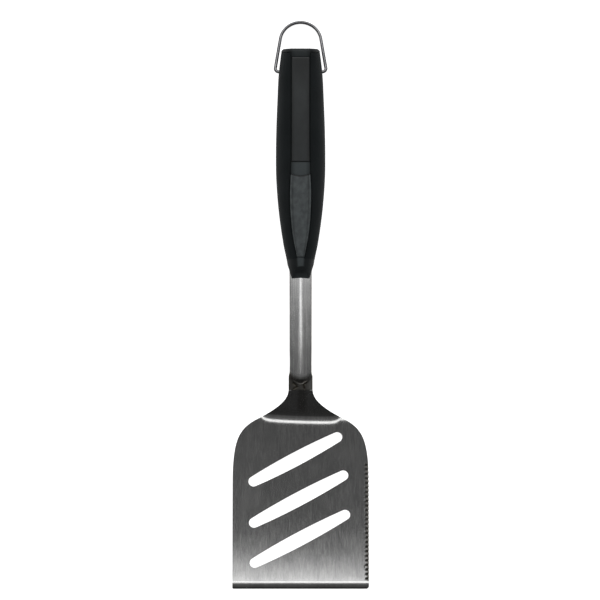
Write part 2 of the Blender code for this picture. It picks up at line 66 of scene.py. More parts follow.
# Blade
SHEET = 1.5
BLADE_HALF = 51.8
SERRATED_HALF = 51.9
BLADE_TILT = math.radians(8)
TILT_COS = math.cos(BLADE_TILT)
TILT_SIN = math.sin(BLADE_TILT)
HEEL_STATION = 127.7
HEEL_RADIUS = 12.5
HEEL_EASE_RADIUS = 50.0
HEEL_EASE_END = math.radians(1.5)
HEEL_SKEW = -0.034
HEEL_BOW = 0.0009
HEEL_CURL = 2.6
HEEL_CURL_HALF = 30.0
NECK_SLOPE = math.radians(30)
NECK_RADIUS = 10.0
BEVEL_LENGTH = 3.6
ROLLED_STRIP_END = 5.9
ROLLED_STRIP_TURN = math.radians(3.2)
EDGE_THICKNESS = 0.4
EDGE_ROUNDINGS = (0.28, 0.12, 0.1)
OUTLINE_REACH = (-6, 36)
FRONT_CORNERS = (0.8, 2.3)
SHOULDER_STATION = 79.0
SHOULDER_HANDLE = 34.0
NECK_SIDE = (32.5, 128.7)
NECK_SIDE_ANGLE = math.radians(63)
NECK_SIDE_HANDLES = (16.6, 14.0)
NECK_TOP = (9.3, 150.42)
NECK_TOP_HANDLE = 8.0
TONGUE_HALF = 6.9
TONGUE_END = 178.0
SLOTS = ((-4.0, 97.7, 72.0), (-1.5, 67.6, 76.8), (-0.5, 37.6, 77.7))
SLOT_ANGLE = math.radians(28)
SLOT_END_RADIUS = 3.8
SLOT_HALF_WIDTH = 5.2
SLOT_EDGE = 0.2
TOOTH_PITCH = 3.46
TOOTH_COUNT = 26
TOOTH_START = 5.8
TOOTH_DIP = 1.0
TOOTH_NOTCH = 0.3
GRIND_ANGLE = math.radians(29)

# Side profiles of the blade: how far out they go, their spacing over the blade and over the neck,
# and the stations between which the heel's shift grows and then fades
PROFILE_REACH = 60
PROFILE_SPACING = 1.5
NECK_PROFILE_REACH = 12
NECK_PROFILE_SPACING = 0.6
SHIFT_START = 60
SHIFT_FADE = (138, 156)

# Painted light on the blade: middle and half width of the painted dark reflection band on the
# neck, width and tone of the painted shade on the ground scallops, tones of the band, of the
# painted shade on the neck beside it and of the two painted highlight lines, and how far the heel's
# line is moved and its half width
NECK_BAND = (1.1, 3.6)
GROUND_WIDTH = 4.5
GROUND_TONE = 0.8
BAND_TONE = 0.5
NECK_TONE = 0.1
STRIP_HIGHLIGHT = 0.62
HEEL_HIGHLIGHT = 0.4
HEEL_LINE_OFFSET = 1.0
HEEL_LINE_HALF = 2.0

# Tube: half width, half height, radii of ridge and corners, and where the flank starts and ends,
# as the angles of its normals from upright
TUBE_SECTION = (8.6, 5.25, 9.0, 1.6, math.radians(14), math.radians(22))
PINCH_SECTION = (9.2, 2.05, 220.0, 1.0, math.radians(1.0), math.radians(2.4))
SECTION_STEPS = (12, 12, 8)
LEAST_CORNER = 0.3
TUBE_SPACING = 5
PINCH_SPACING = 0.3
TUBE_WALL = 0.9
TUBE_END = 374.0
PINCH_START = 150.5
PINCH_APEX = 154.8
PINCH_END = 164.0
PINCH_SOFTNESS = 1.6
PINCH_ROUNDNESS = 0.4
PINCH_SLOPE = math.tan(math.radians(5))
CREASES = (((-5.6, 156.0), (-2.5, 153.2), (-5.2, 151.7)),
           ((4.9, 156.8), (2.1, 154.6), (3.0, 151.9)))
CREASE_DEPTH = 0.14
CREASE_WIDTH = 0.55

# Painted shade on the tube: the edge of the painted shade over the pinch, as its station at X = 0
# and how fast it climbs to the sides, half the edge's fade, the last station of that shade, and
# tones
PINCH_SHADE_EDGE = (159.6, 0.07)
PINCH_SHADE_FADE = 2.6
PINCH_SHADE_REACH = 176
PINCH_SHADE_TONE = 0.8
PINCH_SHADE_SIDE_LOSS = 0.25
CREASE_TONE = 0.5
SIDE_TONE = 0.55

# Handle: shapes of the parts, then (station, value) pairs of its half width, of its crown and belly
# from the axis, of the top facet's half width, and of the grip's thickness
NOSE_START = 235.4
NOSE_ARCH = 0.4
NOSE_TIP_HALF = 6.6
NOSE_END = 246.6
SCOOP_FLOOR = 5.95
SCOOP_END = 245.0
SCOOP_LINE = 240.6
SEAM = 0.01
GRIP_START = 250.3
GRIP_END = 406.6
BUTT_END = 409.8
BUTT_ROUNDING = 2.2
BELLY_POWER = 2.3
FLANK_STEPS = (26, 20)
SPINE_FOOT = 0.4
SPINE_EASING = 0.35
SPINE_TOP_POINTS = 6
STEP_RUN = 0.8
GRIP_EASING = 0.3
WIDTH_STATIONS = ((237, 9.5), (246.6, 10.1), (262, 13.2), (286, 16.6), (310, 18.5), (326, 18.8),
                  (348, 18.5), (372, 17.6), (390, 16.7), (411, 14.3))
CROWN_STATIONS = ((237, 7.4), (262, 9.3), (286, 11.2), (310, 12.6), (332, 13.0), (360, 12.7),
                  (390, 11.7), (411, 10.6))
BELLY_STATIONS = ((237, 7.2), (262, 9.0), (286, 10.8), (310, 11.8), (326, 12.0), (348, 11.8),
                  (372, 11.2), (411, 9.8))
FACET_STATIONS = ((237, 2.5), (248, 2.7), (255, 3.8), (262, 5.3), (271, 6.8), (285, 8.1),
                  (299, 8.5), (312, 8.0), (321, 7.35), (411, 7.2))
THICKNESS_STATIONS = ((250, 0.9), (264, 1.7), (280, 2.2), (411, 2.2))
INLAY_THICKNESS = 1.8
PAD_START = 251.8
PAD_END = 315.0
SMILE_DIP = 1.9
PANEL_START = 324.0
PANEL_END = 403.0

# The inlays' sections: shares of the half width, and heights over the crown
PAD_SECTION = ((0.0, 0.0), (0.2, 0.0), (0.4, 0.0), (0.56, -0.01), (0.64, -0.05), (0.7, -0.14),
               (0.74, -0.2), (0.78, -0.14), (0.82, 0.02), (0.86, 0.17), (0.9, 0.22), (0.94, 0.17),
               (0.97, 0.0), (1.0, -0.3))
PANEL_SECTION = ((0.0, 0.0), (0.3, 0.0), (0.6, -0.01), (0.8, -0.02), (0.9, -0.04), (0.95, -0.08),
                 (0.98, -0.14), (1.0, -0.26))
INLAY_END_EASING = ((0.0, 0.3), (0.08, 0.14), (0.25, 0.03), (0.5, 0.0))

# Hanging loop
WIRE_RADIUS = 1.25
LOOP_DROOP = math.radians(15.5)
LOOP_FOOT_HALF = 19.25
LOOP_FOOT_RADIUS = 2.6
LOOP_RISE = 39.7
LOOP_TOP_RADIUS = 15.6
LOOP_END_HALF = 9.5
HOLE_RADIUS = 1.75
HOLE_BOTTOM_HALF = 8.8

# Colours of painted shade and of painted highlights on the steel, of painted top light on the
# handle's spine, and of painted shade on its inlays
STEEL_SHADE_COLOUR = (0.075, 0.067, 0.052)
STEEL_HIGHLIGHT_COLOUR = (0.8, 0.8, 0.79)
SPINE_TOP_LIGHT_COLOUR = (0.066, 0.077, 0.080)
INLAY_SHADE_COLOUR = (0.008, 0.0095, 0.010)

# Steels: light and dark colour, and roughness. The blade's surface also waves, by this many metres.
BLADE_STEEL = ((0.495, 0.495, 0.49), (0.385, 0.385, 0.385), 0.15)
BLADE_WAVE = 0.00006
TUBE_STEEL = ((0.69, 0.69, 0.68), (0.50, 0.50, 0.50), 0.17)
WIRE_COLOURS = ((0.10, 0.10, 0.104), (0.16, 0.16, 0.164))

# Mouldings: light and dark colour, roughness, pits per metre, their depth in metres, and for some
# the specular level
SOFT_GRIP = ((0.0110, 0.0140, 0.0150), (0.0080, 0.0104, 0.0112), 0.7, 2600, 0.00006, 0.12)
HARD_PLASTIC = ((0.0120, 0.0146, 0.0154), (0.0090, 0.0112, 0.0118), 0.6, 3200, 0.00003, 0.2)
SATIN_PAD = ((0.098, 0.112, 0.115), (0.060, 0.069, 0.072), 0.46, 3600, 0.00003)
SATIN_BLOTCHES = 300
INLAY_PLASTIC = ((0.035, 0.040, 0.0415), (0.024, 0.0275, 0.0285), 0.44, 3200, 0.00003)
PLUG_PLASTIC = ((0.30, 0.30, 0.29), (0.24, 0.24, 0.23), 0.5, 2400, 0.00003)

# Studio, in metres. The surroundings' brightness goes by the sine of the height above the horizon.
# A light has a name, place, size, power, and its tilt about X and turn about Z in degrees.
FLOOR_RADIUS = 8.0
FLOOR_LEVEL = -0.0002
FLOOR_GREY = 0.86
FLOOR_GLOW = 0.92
HORIZON = ((0.08, 1.0), (0.24, 0.22), (0.42, 0.036), (0.86, 0.05), (0.97, 0.085))
LIGHTS = (
    ("key", (0, 0.008, 1.2), (0.4, 0.085), 0.15, 0, -3),
    ("band", (0, 0.006, 1.22), (4.2, 0.12), 0.35, 0, 0),
    ("halo", (0, 0.002, 1.21), (1.0, 0.09), 0.065, 0, 0),
    ("side", (-0.9, 0.05, 1.2), (1.2, 0.07), 0.15, 0, 0),
    ("side", (0.9, 0.05, 1.2), (1.2, 0.07), 0.15, 0, 0),
    ("wide", (0, 0.17, 1.25), (2.4, 0.24), 0.115, 0, 0),
    ("front", (0, -0.22, 1.25), (2.4, 0.3), 0.24, 0, 0),
    ("low", (0, -0.6, 1.25), (2.4, 0.4), 0.22, 0, 0),
    ("back", (0, 1.8, 1.7), (2.4, 1.2), 38.0, -47, 0),
)
CAMERA_X = -0.00046
CAMERA_Y = 0.0031
CAMERA_HEIGHT = 3.0
CAMERA_FIELD = 0.456
SENSOR_WIDTH = 36.0


# ---------------------------------------------------------------- curves


def arc(centre, radius, start, end, steps):
    """Points along an arc, both ends included."""
    points = []
    for i in range(steps + 1):
        angle = start + (end - start) * i / steps
        points.append((centre[0] + radius * math.cos(angle), centre[1] + radius * math.sin(angle)))
    return points


def bezier(a, b, c, d, steps):
    """Points along a cubic Bezier curve, both ends included."""
    points = []
    for i in range(steps + 1):
        t = i / steps
        s = 1 - t
        weights = (s**3, 3 * s * s * t, 3 * s * t * t, t**3)
        points.append(tuple(sum(w * p[k] for w, p in zip(weights, (a, b, c, d))) for k in range(2)))
    return points


def curve_through(stations):
    """A smooth function through (station, value) pairs, with slopes from their neighbours."""
    xs = [s[0] for s in stations]
    values = [s[1] for s in stations]
    last = len(stations) - 1
    slopes = []
    for i in range(last + 1):
        before = max(i - 1, 0)
        after = min(i + 1, last)
        slopes.append((values[after] - values[before]) / (xs[after] - xs[before]))

    def value_at(x):
        x = min(max(x, xs[0]), xs[-1])
        i = max(k for k in range(last) if xs[k] <= x)
        span = xs[i + 1] - xs[i]
        u = (x - xs[i]) / span
        return (
            (2 * u**3 - 3 * u**2 + 1) * values[i]
            + (u**3 - 2 * u**2 + u) * span * slopes[i]
            + (3 * u**2 - 2 * u**3) * values[i + 1]
            + (u**3 - u**2) * span * slopes[i + 1]
        )

    return value_at


def smoothstep(low, high, x):
    """0 at low and 1 at high, with an easy start and end."""
    u = min(max((x - low) / (high - low), 0.0), 1.0)
    return u * u * (3 - 2 * u)


def evenly(start, end, spacing):
    """Values from start to end, both included, about this far apart."""
    steps = max(1, round((end - start) / spacing))
    return [start + (end - start) * i / steps for i in range(steps + 1)]


def rounded(before, corner, after, size, steps):
    """Points that round off a corner between its two neighbours."""
    c = Vector(corner)
    p = c + (Vector(before) - c).normalized() * size
    q = c + (Vector(after) - c).normalized() * size
    points = []
    for i in range(steps + 1):
        t = i / steps
        points.append(tuple(p * (1 - t) ** 2 + c * 2 * t * (1 - t) + q * t * t))
    return points


# ---------------------------------------------------------------- meshes and pieces


def add_object(name, data):
    """An object with this data, in the scene."""
    obj = bpy.data.objects.new(name, data)
    bpy.context.scene.collection.objects.link(obj)
    return obj


def new_object(name, points, faces, sharp_angle=SHARP_ANGLE):
    """A smooth-shaded object from points (x, station, z), with its mesh in the frame's metres."""
    mesh = bpy.data.meshes.new(name)
    mesh.from_pydata([(x * MM, FRONT_Y + y * MM, z * MM) for x, y, z in points], [], faces)
    work = bmesh.new()
    work.from_mesh(mesh)
    bmesh.ops.recalc_face_normals(work, faces=work.faces)
    work.to_mesh(mesh)
    work.free()
    mesh.shade_smooth()
    mesh.set_sharp_from_angle(angle=math.radians(sharp_angle))
    return add_object(name, mesh)


def skin(rings, closed=False):
    """Points and faces over rings of equal length. A closed row joins its last ring to its first,
    and any other is capped."""
    count = len(rings[0])
    points = [p for ring in rings for p in ring]
    faces = []
    for i in range(len(rings) if closed else len(rings) - 1):
        here = i * count
        there = (i + 1) % len(rings) * count
        for j in range(count):
            k = (j + 1) % count
            faces.append((here + j, here + k, there + k, there + j))
    if not closed:
        faces.append(tuple(range(count)))
        faces.append(tuple(range((len(rings) - 1) * count, len(rings) * count)))
    return points, faces


def prism(outline, low, high, lay):
    """An outline pushed from one level to another. lay turns (a, b, level) into (x, station, z)."""
    return skin([[lay(a, b, level) for a, b in outline] for level in (low, high)])


def lay_flat(a, b, level):
    return (a, b, level)


def lay_across(a, b, level):
    return (level, a, b)


def cut(target, cutters, operation="DIFFERENCE"):
    """Applies Boolean cuts to the target's mesh and removes the cutters."""
    for cutter in cutters:
        boolean = target.modifiers.new(cutter.name, "BOOLEAN")
        boolean.operation = operation
        boolean.object = cutter
        boolean.solver = "EXACT"
    graph = bpy.context.evaluated_depsgraph_get()
    result = bpy.data.meshes.new_from_object(target.evaluated_get(graph))
    target.modifiers.clear()
    target.data = result
    for cutter in cutters:
        bpy.data.objects.remove(cutter)
    result.shade_smooth()
    result.set_sharp_from_angle(angle=math.radians(SHARP_ANGLE))


def grain_map(obj):
    """A UV map in metres, U across and V along +Y, that gives the brushed grain its direction."""
    mesh = obj.data
    layer = mesh.uv_layers.new(name="grain")
    for polygon in mesh.polygons:
        upright = abs(polygon.normal.z) < 0.5 and abs(polygon.normal.x) > 0.5
        for index in polygon.loop_indices:
            co = mesh.vertices[mesh.loops[index].vertex_index].co
            layer.data[index].uv = (co.z if upright else co.x, co.y)


def painted_light_map(obj, name, amount):
    """An attribute of how much light or shade is painted on at each face corner, from amount(x,
    station, normal)."""
    mesh = obj.data
    layer = mesh.attributes.new(name=name, type="FLOAT", domain="CORNER")
    for polygon in mesh.polygons:
        for index in polygon.loop_indices:
            co = mesh.vertices[mesh.loops[index].vertex_index].co
            layer.data[index].value = amount(co.x / MM, (co.y - FRONT_Y) / MM, polygon.normal)


def finish_piece(obj, look, body, nodes):
    """Gives a piece its material, and says which body it rides on and which nodes it stands for."""
    obj.data.materials.clear()
    obj.data.materials.append(look)
    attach(obj, body)
    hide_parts(*nodes)
    return obj


# ---------------------------------------------------------------- materials


class Look:
    """A Principled material with helpers for its procedural nodes."""

    def __init__(self, name, **settings):
        self.material = bpy.data.materials.new(name)
        self.material.use_nodes = True
        self.tree = self.material.node_tree
        self.shader = self.tree.nodes["Principled BSDF"]
        for key, value in settings.items():
            self.shader.inputs[key.replace("_", " ")].default_value = value
        self.place = self.node("ShaderNodeTexCoord").outputs["Object"]

    def node(self, kind, **settings):
        made = self.tree.nodes.new(kind)
        for key, value in settings.items():
            setattr(made, key, value)
        return made

    def link(self, source, target):
        self.tree.links.new(source, target)

    def noise(self, scale, detail=4.0, turn=(0, 0, 0), distortion=0.0):
        """Noise with its own number of features per metre along each axis."""
        mapping = self.node("ShaderNodeMapping")
        mapping.inputs["Scale"].default_value = scale
        mapping.inputs["Rotation"].default_value = turn
        self.link(self.place, mapping.inputs["Vector"])
        noise = self.node("ShaderNodeTexNoise")
        noise.inputs["Scale"].default_value = 1.0
        noise.inputs["Detail"].default_value = detail
        noise.inputs["Roughness"].default_value = 0.55
        noise.inputs["Distortion"].default_value = distortion
        self.link(mapping.outputs["Vector"], noise.inputs["Vector"])
        return noise.outputs["Fac"]

    def cells(self, scale):
        """Small rounded cells, this many per metre."""
        texture = self.node("ShaderNodeTexVoronoi", feature="F1")
        texture.inputs["Scale"].default_value = scale
        self.link(self.place, texture.inputs["Vector"])
        return texture.outputs["Distance"]

    def spread(self, value, low, high, to_low, to_high):
        """The value moved from one range to another."""
        ranged = self.node("ShaderNodeMapRange")
        limits = {"From Min": low, "From Max": high, "To Min": to_low, "To Max": to_high}
        for key, number in limits.items():
            ranged.inputs[key].default_value = number
        self.link(value, ranged.inputs["Value"])
        return ranged.outputs["Result"]

    def math(self, operation, a, b):
        made = self.node("ShaderNodeMath", operation=operation)
        for socket, value in zip(made.inputs, (a, b)):
            if isinstance(value, (int, float)):
                socket.default_value = value
            else:
                self.link(value, socket)
        return made.outputs["Value"]

    def blend(self, share, a, b):
        """A colour between two colours or sockets."""
        mix = self.node("ShaderNodeMix", data_type="RGBA")
        self.link(share, mix.inputs[0])
        for socket, value in ((mix.inputs[6], a), (mix.inputs[7], b)):
            if isinstance(value, tuple):
                socket.default_value = (*value, 1)
            else:
                self.link(value, socket)
        return mix.outputs[2]

    def bump(self, height, distance, strength=1.0, below=None):
        made = self.node("ShaderNodeBump")
        made.inputs["Distance"].default_value = distance
        made.inputs["Strength"].default_value = strength
        self.link(height, made.inputs["Height"])
        if below:
            self.link(below, made.inputs["Normal"])
        return made.outputs["Normal"]

    def set(self, socket, source):
        self.link(source, self.shader.inputs[socket])

    def grain_direction(self):
        tangent = self.node("ShaderNodeTangent", direction_type="UV_MAP", uv_map="grain")
        self.set("Tangent", tangent.outputs["Tangent"])


def brushed_steel(name, light, dark, roughness, wave=0.0):
    """Stainless steel brushed lengthwise: streaks, faint scratches, painted shade, painted
    highlights and, if asked for, a slightly wavy surface."""
    look = Look(name, Metallic=1.0, Anisotropic=0.85)
    fine = look.noise((1350, 26, 1350), detail=2.0)
    broad = look.noise((520, 16, 520), detail=2.0)
    cloud = look.noise((85, 55, 85), detail=4.0)
    scratch = look.noise((900, 60, 900), detail=1.0, turn=(0, 0, math.radians(24)))
    streak = look.math("ADD", look.math("MULTIPLY", fine, 0.6), look.math("MULTIPLY", broad, 0.4))
    tone = look.math("ADD", streak, look.math("MULTIPLY", look.math("SUBTRACT", cloud, 0.5), 0.7))
    clean = look.blend(look.spread(tone, 0.34, 0.66, 0.0, 1.0), dark, light)
    # Painted shade and painted highlights: two attributes darken the steel's colour towards a
    # brown-grey and lighten it towards near white; the painted shade also makes it a little
    # rougher.
    painted_dark = look.node("ShaderNodeAttribute", attribute_name="steel_shade").outputs["Fac"]
    steel_highlight = look.node("ShaderNodeAttribute", attribute_name="steel_highlight").outputs["Fac"]
    look.set("Base Color", look.blend(painted_dark, look.blend(steel_highlight, clean, STEEL_HIGHLIGHT_COLOUR), STEEL_SHADE_COLOUR))
    overlay = look.spread(scratch, 0.66, 0.76, 0.0, 0.03)
    rough = look.spread(streak, 0.3, 0.7, roughness - 0.015, roughness + 0.015)
    dull = look.math("MULTIPLY", painted_dark, 0.08)
    look.set("Roughness", look.math("ADD", look.math("ADD", rough, overlay), dull))
    grained = look.bump(streak, 0.00001, 0.3)
    if wave:
        swell = look.noise((26, 17, 26), detail=1.0)
        grained = look.bump(swell, wave, 1.0, grained)
    look.set("Normal", grained)
    look.grain_direction()
    return look.material


def drawn_wire():
    """Steel wire with a fine uneven surface and cloudy colour."""
    look = Look("drawn_wire", Metallic=1.0)
    fine = look.noise((1500, 1500, 1500), detail=4.0)
    cloud = look.noise((90, 90, 90), detail=2.0)
    look.set("Base Color", look.blend(look.spread(cloud, 0.35, 0.65, 0.0, 1.0), *WIRE_COLOURS))
    look.set("Roughness", look.spread(fine, 0.3, 0.7, 0.22, 0.36))
    look.set("Normal", look.bump(fine, 0.00001, 0.5))
    return look.material


def moulded(name, light, dark, roughness, grain, depth, specular=0.5, blotches=60, overlay=SPINE_TOP_LIGHT_COLOUR):
    """Moulded plastic or rubber: a fine spark-eroded grain, soft colour variation, uneven gloss,
    and another colour painted in by an attribute: painted top light or painted shade."""
    look = Look(name, Specular_IOR_Level=specular)
    pits = look.cells(grain)
    fine = look.noise((grain * 0.7,) * 3, detail=3.0)
    cloud = look.noise((blotches, blotches * 0.7, blotches), detail=4.0)
    smear = look.noise((150, 22, 150), detail=3.0, distortion=0.4)
    plain = look.blend(look.spread(cloud, 0.35, 0.65, 0.0, 1.0), dark, light)
    # Painted light and shade: an attribute blends in another colour, lighter for painted top light
    # on the hard plastic, darker for painted shade on the inlays.
    painted_shading = look.node("ShaderNodeAttribute", attribute_name="painted_shading").outputs["Fac"]
    look.set("Base Color", look.blend(painted_shading, plain, overlay))
    gloss = look.math("ADD", look.math("MULTIPLY", fine, 0.5), look.math("MULTIPLY", smear, 0.5))
    look.set("Roughness", look.spread(gloss, 0.3, 0.7, roughness - 0.06, roughness + 0.08))
    height = look.math("ADD", look.math("MULTIPLY", pits, 0.7), look.math("MULTIPLY", fine, 0.5))
    look.set("Normal", look.bump(height, depth, 0.7))
    return look.material


# ---------------------------------------------------------------- blade


def flat_z(station):
    """The height of the sheet's middle where the blade is flat."""
    return HEEL_FLAT[1] + (HEEL_FLAT[0] - station) * math.tan(BLADE_TILT)


def heel_point(slope):
    """The sheet's middle line over the heel as (station, z): an easy bend on the blade's side, then
    a tight one up to the neck."""
    below = max(-slope - HEEL_EASE_END, 0.0)
    tight = slope + below
    eased = -HEEL_EASE_END - below
    station = HEEL_STATION + HEEL_RADIUS * math.sin(tight)
    z = SHEET / 2 + HEEL_RADIUS * (1 - math.cos(tight))
    if below:
        station += HEEL_EASE_RADIUS * (math.sin(eased) + math.sin(HEEL_EASE_END))
        z += HEEL_EASE_RADIUS * (math.cos(HEEL_EASE_END) - math.cos(eased))
    return station, z


HEEL_FLAT = heel_point(-BLADE_TILT)


def sheet_middle():
    """The sheet's middle line from the bevel to the tongue's end, as (station, z, slope) points."""
    line = [(s, flat_z(s), -BLADE_TILT) for s in evenly(ROLLED_STRIP_END, HEEL_FLAT[0], 4.0)[:-1]]
    slopes = evenly(-BLADE_TILT, NECK_SLOPE, math.radians(0.5))
    line += [(*heel_point(slope), slope) for slope in slopes]
    turn = (HEEL_RADIUS + NECK_RADIUS) * (1 - math.cos(NECK_SLOPE))
    run = (AXIS_Z - SHEET / 2 - turn) / math.tan(NECK_SLOPE)
    neck_end = HEEL_STATION + (HEEL_RADIUS + NECK_RADIUS) * math.sin(NECK_SLOPE) + run
    upper = []
    for slope in reversed(evenly(0, NECK_SLOPE, math.radians(2))):
        z = AXIS_Z - NECK_RADIUS * (1 - math.cos(slope))
        upper.append((neck_end - NECK_RADIUS * math.sin(slope), z, slope))
    start = Vector(line[-1])
    end = Vector(upper[0])
    line += [tuple(start.lerp(end, i / 10)) for i in range(1, 10)]
    return line + upper + [(TONGUE_END, AXIS_Z, 0.0)]


def front_profile():
    """The ground front as (station, z) points: over the top from the blade's flat to the edge, and
    round the edge's lower corner."""
    lift = SHEET / 2 / TILT_COS
    edge_bottom = flat_z(0.0) - lift
    top = []
    z = flat_z(ROLLED_STRIP_END) + lift
    steps = 8
    stride = (ROLLED_STRIP_END - BEVEL_LENGTH) / steps
    for i in range(1, steps + 1):
        z += stride * math.tan(BLADE_TILT - ROLLED_STRIP_TURN * (i - 0.5) / steps)
        top.append((ROLLED_STRIP_END - stride * i, z))
    corner = top.pop()
    tip = (0.0, edge_bottom + EDGE_THICKNESS)
    top += rounded(top[-1], corner, tip, EDGE_ROUNDINGS[0], 4)
    top += rounded(corner, tip, (0.0, edge_bottom), EDGE_ROUNDINGS[1], 3)
    under = (10.0, flat_z(10.0) - lift)
    bottom = rounded(tip, (0.0, edge_bottom), under, EDGE_ROUNDINGS[2], 3)
    return top, bottom


def heel_shift(x):
    """How far the heel's line lies towards the handle at x: slightly skewed, bowed, and curled at
    its ends."""
    along = min(abs(x) / HEEL_CURL_HALF, 1.0)
    return HEEL_SKEW * x + HEEL_BOW * (along * HEEL_CURL_HALF) ** 2 + HEEL_CURL * along**12


def sheet_rings():
    """Side profiles of the sheet, one for each X."""
    middle = sheet_middle()
    top, bottom = front_profile()
    rings = []
    places = evenly(-PROFILE_REACH, -NECK_PROFILE_REACH, PROFILE_SPACING)[:-1]
    places += evenly(-NECK_PROFILE_REACH, NECK_PROFILE_REACH, NECK_PROFILE_SPACING)
    places += evenly(NECK_PROFILE_REACH, PROFILE_REACH, PROFILE_SPACING)[1:]
    for x in places:
        shift = heel_shift(x)
        over = []
        under = []
        for station, z, slope in middle:
            grown = shift * smoothstep(SHIFT_START, HEEL_FLAT[0], station)
            station += grown * (1 - smoothstep(*SHIFT_FADE, station))
            along = SHEET / 2 * math.sin(slope)
            up = SHEET / 2 * math.cos(slope)
            over.append((x, station - along, z + up))
            under.append((x, station + along, z - up))
        front_over = [(x, y, z) for y, z in reversed(top)]
        front_under = [(x, y, z) for y, z in reversed(bottom)]
        rings.append(front_over + over + under[::-1] + front_under)
    return rings


def blade_outline():
    """The blade from above: front corners, straight edges, round shoulders, fan neck and tongue."""
    side = Vector((math.sin(NECK_SIDE_ANGLE), -math.cos(NECK_SIDE_ANGLE)))
    edge = Vector(NECK_SIDE)
    outline = []
    sides = ((1, SERRATED_HALF, FRONT_CORNERS[1]), (-1, BLADE_HALF, FRONT_CORNERS[0]))
    for sign, half, corner in sides:
        shoulder = bezier((half, SHOULDER_STATION), (half, SHOULDER_STATION + SHOULDER_HANDLE),
                          tuple(edge + side * NECK_SIDE_HANDLES[0]), tuple(edge), 40)
        fan = bezier(tuple(edge), tuple(edge - side * NECK_SIDE_HANDLES[1]),
                     (NECK_TOP[0], NECK_TOP[1] - NECK_TOP_HANDLE), NECK_TOP, 26)
        right = arc((half - corner, corner), corner, -math.pi / 2, 0, 10) + shoulder + fan[1:]
        right += [(TONGUE_HALF, NECK_TOP[1]), (TONGUE_HALF, TONGUE_END + 5)]
        outline += [(sign * x, y) for x, y in (right if sign > 0 else reversed(right))]
    return outline


def slot_outline(length, grow):
    """A lens-shaped slot along X, grown outwards a little: round ends and slightly bulged sides."""
    half = length / 2
    end = SLOT_END_RADIUS + grow
    bulge = SLOT_HALF_WIDTH - SLOT_END_RADIUS
    side_radius = (half * half + bulge * bulge) / (2 * bulge) + end
    lean = math.asin(half / side_radius)
    centre = SLOT_HALF_WIDTH + grow - side_radius
    side = arc((0, centre), side_radius, math.pi / 2 - lean, math.pi / 2 + lean, 28)
    turn = arc((-half, 0), end, math.pi / 2 + lean, 3 * math.pi / 2 - lean, 20)
    loop = side[1:] + turn[1:]
    return loop + [(-a, -b) for a, b in loop]


def slot_cutter(x, station, length):
    """A cutter square to the blade, flared at each face so that the slot's edges are eased."""
    reach = 3.0
    flat = SHEET / 2 - SLOT_EDGE
    levels = ((reach, reach - flat), (flat, 0.0), (-flat, 0.0), (-reach, reach - flat))
    c = math.cos(SLOT_ANGLE)
    s = math.sin(SLOT_ANGLE)
    middle_z = flat_z(station)
    rings = []
    for level, grow in levels:
        ring = []
        for a, b in slot_outline(length, grow):
            along = a * s + b * c
            y = station + along * TILT_COS + level * TILT_SIN
            z = middle_z - along * TILT_SIN + level * TILT_COS
            ring.append((x + a * c - b * s, y, z))
        rings.append(ring)
    return new_object("slot_cutter", *skin(rings))


def serration_cutter():
    """One comb for all scallops: a row of arcs pushed along the grinding direction, which runs
    outwards and down."""
    half = TOOTH_PITCH / 2
    radius = (half * half + TOOTH_DIP**2) / (2 * TOOTH_DIP)
    reach = math.asin(half / radius)
    first = TOOTH_START / TILT_COS
    comb = []
    for i in range(TOOTH_COUNT):
        middle = first + (i + 0.5) * TOOTH_PITCH
        centre = (middle, radius - TOOTH_DIP)
        scallop = arc(centre, radius, -math.pi / 2 - reach, -math.pi / 2 + reach, 9)
        comb += scallop if i == 0 else scallop[1:]
    comb += [(first + TOOTH_COUNT * TOOTH_PITCH, 4.0), (first, 4.0)]
    c = math.cos(GRIND_ANGLE)
    s = math.sin(GRIND_ANGLE)
    front_bottom = flat_z(0.0) - SHEET / 2 / TILT_COS
    cusp_line = SERRATED_HALF - TOOTH_NOTCH + TOOTH_DIP / s

    def lay(a, b, g):
        x = g * c + b * s
        z = b * c - g * s
        y = a * TILT_COS + z * TILT_SIN
        return cusp_line + x, y, front_bottom - a * TILT_SIN + z * TILT_COS

    return new_object("serration_cutter", *prism(comb, -8, 8, lay))


def blade_shade(x, station, normal):
    """Painted shade on the ground scallops, a painted dark reflection band along the neck, and
    painted shade on the neck beside it.
    """
    teeth_end = TOOTH_START + TOOTH_PITCH * TOOTH_COUNT
    beside_teeth = x > SERRATED_HALF - GROUND_WIDTH and TOOTH_START - 1 < station < teeth_end
    if beside_teeth and normal.x > 0.15 and normal.z > 0.1:
        return GROUND_TONE
    middle, half = NECK_BAND
    band = math.exp(-(((x - middle) / half) ** 4)) * smoothstep(130, 138, station)
    return BAND_TONE * band + NECK_TONE * smoothstep(140, 152, station) * (1 - band)


def blade_highlights(x, station, normal):
    """Painted highlights: a bright line painted on the strip along the bevel and along the heel's
    bend.
    """
    strip = STRIP_HIGHLIGHT * smoothstep(ROLLED_STRIP_END + 0.3, ROLLED_STRIP_END - 0.6, station)
    away = (station - HEEL_STATION + HEEL_LINE_OFFSET - heel_shift(x)) / HEEL_LINE_HALF
    heel = HEEL_HIGHLIGHT * math.exp(-(away ** 2))
    return max(strip if station > BEVEL_LENGTH - 0.2 else 0.0, heel)


def make_blade(look):
    """The steel sheet, cut to its outline, then slotted and serrated."""
    blade = new_object("blade_sheet", *skin(sheet_rings()))
    outline = prism(blade_outline(), *OUTLINE_REACH, lay_flat)
    cut(blade, [new_object("outline_cutter", *outline)], "INTERSECT")
    cut(blade, [slot_cutter(*slot) for slot in SLOTS] + [serration_cutter()])
    grain_map(blade)
    # Painted shade and painted highlights on the blade
    painted_light_map(blade, "steel_shade", blade_shade)
    painted_light_map(blade, "steel_highlight", blade_highlights)
    return finish_piece(blade, look, "spatula", ["blade"])


# ---------------------------------------------------------------- shaft


